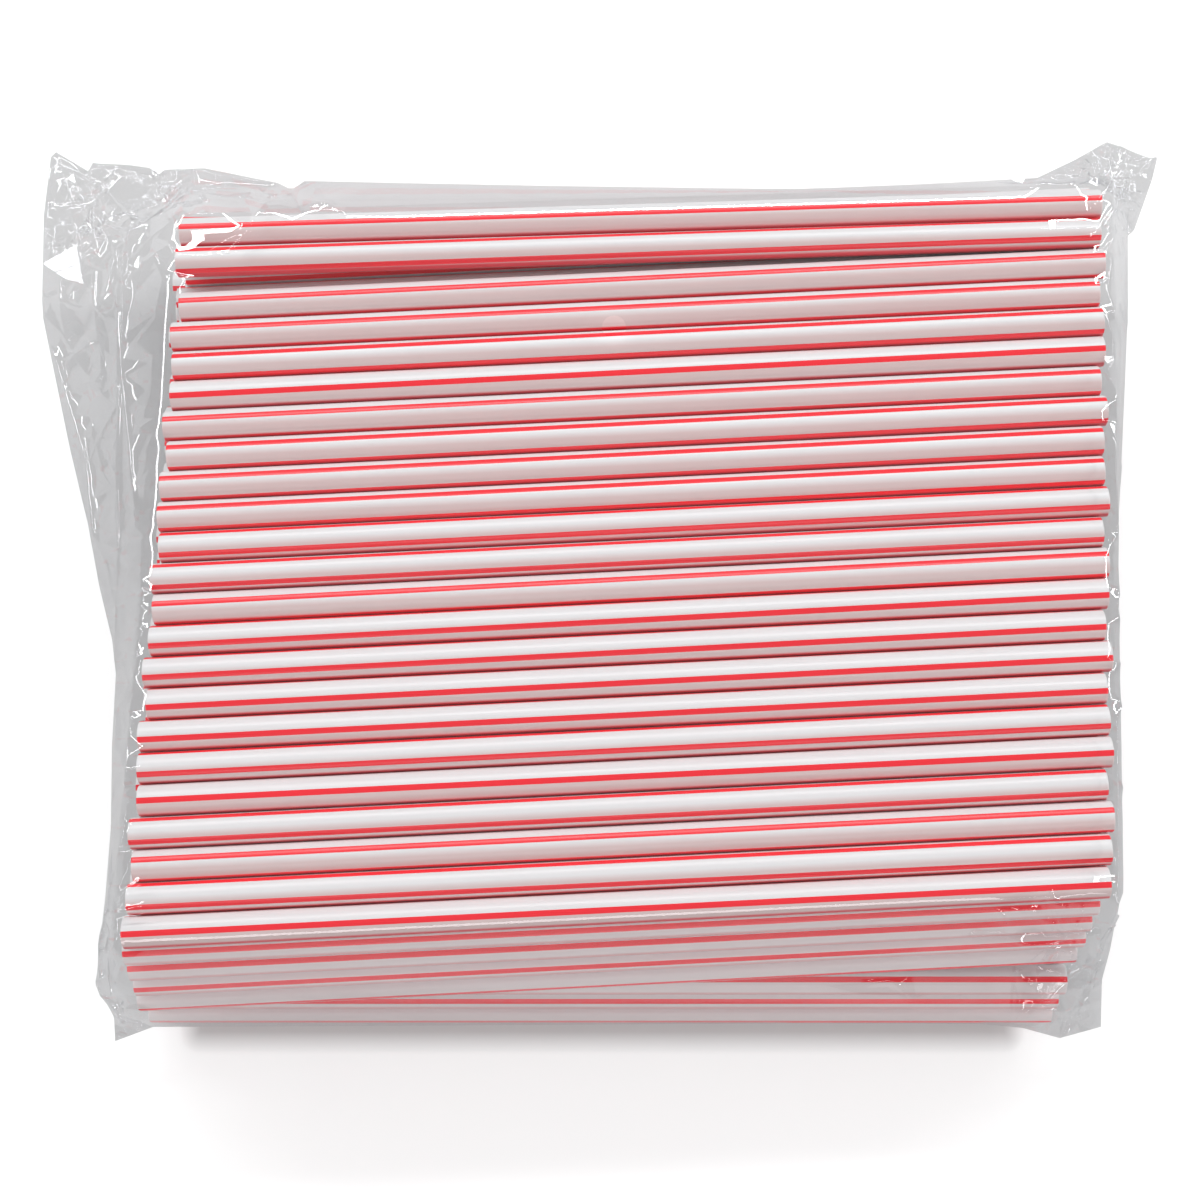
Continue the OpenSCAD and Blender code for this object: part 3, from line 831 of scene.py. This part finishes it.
def film_material(settings):
    """Clear film: it lets nearly all light through and mirrors the rest, more at a flat angle."""
    material, nodes, links, output = new_material("clear film")
    clear = nodes.new("ShaderNodeBsdfTransparent")
    clear.inputs["Color"].default_value = (*settings.tint, 1)
    gloss = nodes.new("ShaderNodeBsdfPrincipled")
    gloss.inputs["Base Color"].default_value = (*FILM_MIRROR_TONE, 1)
    gloss.inputs["Metallic"].default_value = 1.0
    gloss.inputs["Roughness"].default_value = FILM_ROUGHNESS
    share = nodes.new("ShaderNodeFresnel")
    # Seen from inside, the film mirrors as much as from outside.
    side = nodes.new("ShaderNodeNewGeometry")
    index = nodes.new("ShaderNodeMapRange")
    index.inputs["To Min"].default_value = settings.gloss
    index.inputs["To Max"].default_value = 1 / settings.gloss
    links.new(side.outputs["Backfacing"], index.inputs["Value"])
    links.new(index.outputs["Result"], share.inputs["IOR"])
    waves = nodes.new("ShaderNodeTexNoise")
    waves.inputs["Scale"].default_value = FILM_WAVES
    waves.inputs["Detail"].default_value = 0.0
    bump = nodes.new("ShaderNodeBump")
    bump.inputs["Strength"].default_value = FILM_BUMP
    bump.inputs["Distance"].default_value = FILM_WAVE_DEPTH
    mix = nodes.new("ShaderNodeMixShader")
    place = nodes.new("ShaderNodeTexCoord")
    links.new(place.outputs["Object"], waves.inputs["Vector"])
    links.new(waves.outputs["Fac"], bump.inputs["Height"])
    links.new(bump.outputs["Normal"], gloss.inputs["Normal"])
    links.new(share.outputs[0], mix.inputs[0])
    links.new(clear.outputs[0], mix.inputs[1])
    links.new(gloss.outputs[0], mix.inputs[2])
    links.new(mix.outputs[0], output.inputs["Surface"])
    return material


# ---- settings and operators -----------------------------------------------------------------


class StrawSettings(bpy.types.PropertyGroup):
    wall: bpy.props.FloatProperty(
        name="Wall", description="Thickness of a straw's wall", default=0.0002, unit="LENGTH")
    stripe: bpy.props.FloatProperty(
        name="Stripe", description="Width of one stripe round the straw",
        default=0.00122, unit="LENGTH")
    white: bpy.props.FloatVectorProperty(
        name="White", description="Colour of the straws",
        default=(0.79, 0.787, 0.79), subtype="COLOR")
    red: bpy.props.FloatVectorProperty(
        name="Stripe colour", description="Colour of the stripes",
        default=(0.96, 0.02, 0.035), subtype="COLOR")
    # Tone of the painted shade on the straws' flanks, in place of shade and light bounced off the
    # stripes.
    painted_shade_tint: bpy.props.FloatVectorProperty(
        name="Painted flank shade", description="Painted shade on a straw's flank, for light bounced off stripes",
        default=(0.92, 0.73, 0.71), subtype="COLOR")


class FilmSettings(bpy.types.PropertyGroup):
    crumple: bpy.props.FloatProperty(
        name="Crumple", description="Height of the creases in the slack film",
        default=0.0008, unit="LENGTH")
    tint: bpy.props.FloatVectorProperty(
        name="Tint", description="Light that one sheet of film lets through",
        default=(0.925, 0.927, 0.931), subtype="COLOR")
    gloss: bpy.props.FloatProperty(
        name="Gloss", description="Refractive index that sets how much the film mirrors",
        default=1.75)


class StageSettings(bpy.types.PropertyGroup):
    floor: bpy.props.FloatVectorProperty(
        name="Floor", description="Colour of the floor",
        default=(0.636, 0.636, 0.636), subtype="COLOR")
    strip: bpy.props.FloatProperty(
        name="Strip light", description="Length of the main strip light",
        default=2.1, unit="LENGTH")


class OBJECT_OT_straws(bpy.types.Operator):
    """Builds every striped straw of the pile"""

    bl_idname = "straw_pack.straws"
    bl_label = "Build the straws"

    def execute(self, context):
        settings = context.scene.straw_pack_straws
        dim_white = [WHITE_STREAKS * c for c in settings.white]
        dim_red = [RED_STREAKS * c for c in settings.red]
        # The straws carry painted shade on their flanks and gaps; the front straws a paler copy of
        # it.
        paler_painted_shade = [(1 + tone) / 2 for tone in settings.painted_shade_tint]
        white = plastic_material(
            "white straw plastic", settings.white, dim_white, WHITE_ROUGHNESS,
            (settings.painted_shade_tint, PAINTED_GAP_SHADE))
        front = plastic_material(
            "front straw plastic", settings.white, dim_white, WHITE_ROUGHNESS,
            (paler_painted_shade, FRONT_PAINTED_GAP_SHADE))
        red = plastic_material("red stripe plastic", settings.red, dim_red, RED_ROUGHNESS)
        hidden = plastic_material(
            "hidden straw plastic", settings.white, settings.white, WHITE_ROUGHNESS)
        rng = random.Random(4)
        wall = settings.wall / MM

        def build(name, places, stations, gap_steps, replaced, body):
            angles, striped = stripe_angles(settings.stripe / MM, gap_steps)
            points, faces, slots = [], [], []
            for layer, row, rolls in places:
                ends = straw_ends(layer, row)
                add_straw(points, faces, slots, ends, rolls, wall, angles, striped, stations)
            new_piece(name, points, faces, slots, [body, red], replaced)

        for row in range(1, TOP_ROWS + 1):
            roll, twist = TOP_ROLLS[TOP_ROWS - row], TOP_TWISTS[TOP_ROWS - row]
            rolls = (math.radians(roll + twist), math.radians(roll - twist))
            build(f"top_straw_piece_{row:02d}", [(1, row, rolls)], FINE_RINGS, FINE_STEPS,
                  [f"top_straw_{row:02d}"], white)
        for layer in range(2, LAYERS + 1):
            roll = math.radians(FRONT_ROLLS[layer - 2])
            build(f"front_straw_piece_{layer:02d}", [(layer, 1, (roll, roll))], FINE_RINGS,
                  FINE_STEPS, [f"front_straw_{layer:02d}"], front)
        for layer in range(2, LAYERS + 1):
            places = []
            for row in range(2, rows_in(layer) + 1):
                roll = rng.uniform(0, math.pi / 2)
                places.append((layer, row, (roll, roll)))
            build(f"straw_layer_piece_{layer:02d}", places, PLAIN_RINGS, PLAIN_STEPS,
                  [f"straw_layer_{layer:02d}"], hidden)
        return {"FINISHED"}


class OBJECT_OT_film(bpy.types.Operator):
    """Builds the clear bag with its creased ends"""

    bl_idname = "straw_pack.film"
    bl_label = "Build the film bag"

    def execute(self, context):
        settings = context.scene.straw_pack_film
        points, faces, marks, folds = build_film(settings.crumple / MM)
        material = film_material(settings)
        slots = [0] * len(faces)
        piece = new_piece(
            "clear_film_bag", points, faces, slots, [material], ["film_bag"])
        mesh = piece.data
        mesh.set_sharp_from_angle(angle=SHARP_ANGLE)
        sharp = mesh.attributes["sharp_edge"].data
        for edge in mesh.edges:
            a, b = edge.vertices
            middle = (points[a] + points[b]) / 2
            mark = min(marks[a], marks[b])
            if mark == TAUT or (mark == ROUNDED and folds.lift(middle.x, middle.y)[1]):
                sharp[edge.index].value = False
        return {"FINISHED"}


# ---- stage ----------------------------------------------------------------------------------

# All in metres. The floor lies just below the pack.
FLOOR_REACH = 4.0
FLOOR_Z = -0.0002
# The floor's lift to white grows from nothing at the edge of this area under the pack, so that
# the floor stays darker near it: a painted contact shadow on top of the real one. The area's
# middle and half size, then for each part of the lift where it starts and ends outside, and its
# strength.
SHADOW_MIDDLE = (0, -0.05, 0)
SHADOW_HALF_SIZE = (0.09, 0.049, 0)
FLOOR_LIFTS = [(0.0, 0.005, 0.4), (0.25, 1.1, 0.6)]
# Each lamp's place, length, depth and watts. The main strip light's length is a setting.
LAMPS = {
    "back strip light": ((0.0, 0.98, 1.02), None, 0.13, 17.2),
    "left strip light": ((-0.95, 0.0, 0.75), 2.2, 0.08, 7.8),
    "right strip light": ((0.95, 0.0, 0.58), 2.2, 0.08, 7.8),
    "front panel light": ((0.0, -1.1, 0.8), 2.0, 0.18, 4.6),
}
LAMP_AIM = (0, 0, 0.03)
ROOM_TONE = (0.312, 0.312, 0.316)
# The camera as fitted to the photo: picture size, focal length and optical centre in pixels.
PHOTO_SIZE = 1200
FOCAL_LENGTH = 1832
CENTRE_X, CENTRE_Y = 631.1, 555.7
SENSOR_WIDTH = 36
CAMERA_PLACE = (0.0065, -0.0726, 0.4232)
CAMERA_TILT = math.radians(11)


def floor_material(tone):
    """Matte floor with real and painted shadow, lifted to white where no film lies before it."""
    material, nodes, links, output = new_material("white floor")
    matte = nodes.new("ShaderNodeBsdfDiffuse")
    matte.inputs["Color"].default_value = (*tone, 1)
    glow = nodes.new("ShaderNodeEmission")
    seen = nodes.new("ShaderNodeLightPath")
    # Distance from the area under the pack, where the lift fades out into the painted contact
    # shadow.
    place = nodes.new("ShaderNodeTexCoord")
    found = place.outputs["Object"]
    for operation, value in (
            ("SUBTRACT", SHADOW_MIDDLE), ("ABSOLUTE", None), ("SUBTRACT", SHADOW_HALF_SIZE),
            ("MAXIMUM", (0, 0, 0)), ("LENGTH", None)):
        step = nodes.new("ShaderNodeVectorMath")
        step.operation = operation
        if value:
            step.inputs[1].default_value = value
        links.new(found, step.inputs[0])
        found = step.outputs["Value" if operation == "LENGTH" else "Vector"]
    # Sum of the lifts; small near the pack, which paints the contact shadow there.
    spread = nodes.new("ShaderNodeMath")
    spread.operation = "ADD"
    for k, (start, end, strength) in enumerate(FLOOR_LIFTS):
        fade = nodes.new("ShaderNodeMapRange")
        fade.inputs["From Min"].default_value = start
        fade.inputs["From Max"].default_value = end
        fade.inputs["To Max"].default_value = strength
        links.new(found, fade.inputs["Value"])
        links.new(fade.outputs["Result"], spread.inputs[k])
    bare = nodes.new("ShaderNodeMath")
    bare.operation = "LESS_THAN"
    bare.inputs[1].default_value = 0.5
    direct = nodes.new("ShaderNodeMath")
    direct.operation = "MULTIPLY"
    lift = nodes.new("ShaderNodeMath")
    lift.operation = "MULTIPLY"
    add = nodes.new("ShaderNodeAddShader")
    links.new(seen.outputs["Transparent Depth"], bare.inputs[0])
    links.new(seen.outputs["Is Camera Ray"], direct.inputs[0])
    links.new(bare.outputs[0], direct.inputs[1])
    links.new(direct.outputs[0], lift.inputs[0])
    links.new(spread.outputs[0], lift.inputs[1])
    links.new(lift.outputs[0], glow.inputs["Strength"])
    links.new(matte.outputs[0], add.inputs[0])
    links.new(glow.outputs[0], add.inputs[1])
    links.new(add.outputs[0], output.inputs["Surface"])
    return material


def add_lamp(scene, name, place, length, depth, watts):
    """A soft rectangular light that points at the pack."""
    lamp = bpy.data.lights.new(name, "AREA")
    lamp.shape = "RECTANGLE"
    lamp.size, lamp.size_y = length, depth
    lamp.energy = watts
    holder = bpy.data.objects.new(name, lamp)
    holder.location = place
    aim = Vector(LAMP_AIM) - Vector(place)
    holder.rotation_euler = aim.to_track_quat("-Z", "Y").to_euler()
    scene.collection.objects.link(holder)


def studio_world():
    """A grey room that lights the pack and shows as white behind it."""
    world = bpy.data.worlds.new("studio")
    world.use_nodes = True
    nodes, links = world.node_tree.nodes, world.node_tree.links
    nodes.clear()
    room = nodes.new("ShaderNodeBackground")
    room.inputs["Color"].default_value = (*ROOM_TONE, 1)
    white = nodes.new("ShaderNodeBackground")
    white.inputs["Color"].default_value = (1, 1, 1, 1)
    seen = nodes.new("ShaderNodeLightPath")
    mix = nodes.new("ShaderNodeMixShader")
    output = nodes.new("ShaderNodeOutputWorld")
    links.new(seen.outputs["Is Camera Ray"], mix.inputs[0])
    links.new(room.outputs[0], mix.inputs[1])
    links.new(white.outputs[0], mix.inputs[2])
    links.new(mix.outputs[0], output.inputs["Surface"])
    return world


class OBJECT_OT_stage(bpy.types.Operator):
    """Builds the floor, the lamps, the world and the camera"""

    bl_idname = "straw_pack.stage"
    bl_label = "Build the stage"

    def execute(self, context):
        settings = context.scene.straw_pack_stage
        scene = context.scene
        mesh = bpy.data.meshes.new("floor")
        corners = [(-1, -1), (1, -1), (1, 1), (-1, 1)]
        mesh.from_pydata([(x * FLOOR_REACH, y * FLOOR_REACH, 0) for x, y in corners], [],
                         [(0, 1, 2, 3)])
        floor = bpy.data.objects.new("floor", mesh)
        floor.location.z = FLOOR_Z
        scene.collection.objects.link(floor)
        mesh.materials.append(floor_material(settings.floor))

        for name, (place, length, depth, watts) in LAMPS.items():
            add_lamp(scene, name, place, length or settings.strip, depth, watts)
        scene.world = studio_world()

        camera = bpy.data.cameras.new("camera")
        camera.sensor_width = SENSOR_WIDTH
        camera.lens = SENSOR_WIDTH * FOCAL_LENGTH / PHOTO_SIZE
        camera.shift_x = -(CENTRE_X - PHOTO_SIZE / 2) / PHOTO_SIZE
        camera.shift_y = (CENTRE_Y - PHOTO_SIZE / 2) / PHOTO_SIZE
        camera.clip_start = 0.01
        holder = bpy.data.objects.new("camera", camera)
        holder.location = CAMERA_PLACE
        holder.rotation_euler = (CAMERA_TILT, 0, 0)
        scene.collection.objects.link(holder)
        scene.camera = holder
        scene.view_settings.view_transform = "Standard"
        return {"FINISHED"}


class VIEW3D_PT_straw_pack(bpy.types.Panel):
    """Lists the builders and their settings"""

    bl_label = "Straw Pack"
    bl_space_type = "VIEW_3D"
    bl_region_type = "UI"
    bl_category = "Straw Pack"

    def draw(self, context):
        for group, name in PIECES:
            box = self.layout.box()
            box.operator(f"straw_pack.{name}")
            settings = getattr(context.scene, f"straw_pack_{name}")
            for prop in group.__annotations__:
                box.prop(settings, prop)


PIECES = [(StrawSettings, "straws"), (FilmSettings, "film"), (StageSettings, "stage")]
CLASSES = [
    StrawSettings, FilmSettings, StageSettings,
    OBJECT_OT_straws, OBJECT_OT_film, OBJECT_OT_stage, VIEW3D_PT_straw_pack,
]


def register():
    for cls in CLASSES:
        bpy.utils.register_class(cls)
    for group, name in PIECES:
        setattr(bpy.types.Scene, f"straw_pack_{name}", bpy.props.PointerProperty(type=group))


def unregister():
    for group, name in PIECES:
        delattr(bpy.types.Scene, f"straw_pack_{name}")
    for cls in reversed(CLASSES):
        bpy.utils.unregister_class(cls)


def main():
    register()
    bpy.ops.straw_pack.stage()
    bpy.ops.straw_pack.straws()
    bpy.ops.straw_pack.film()


if __name__ == "__main__":
    main()
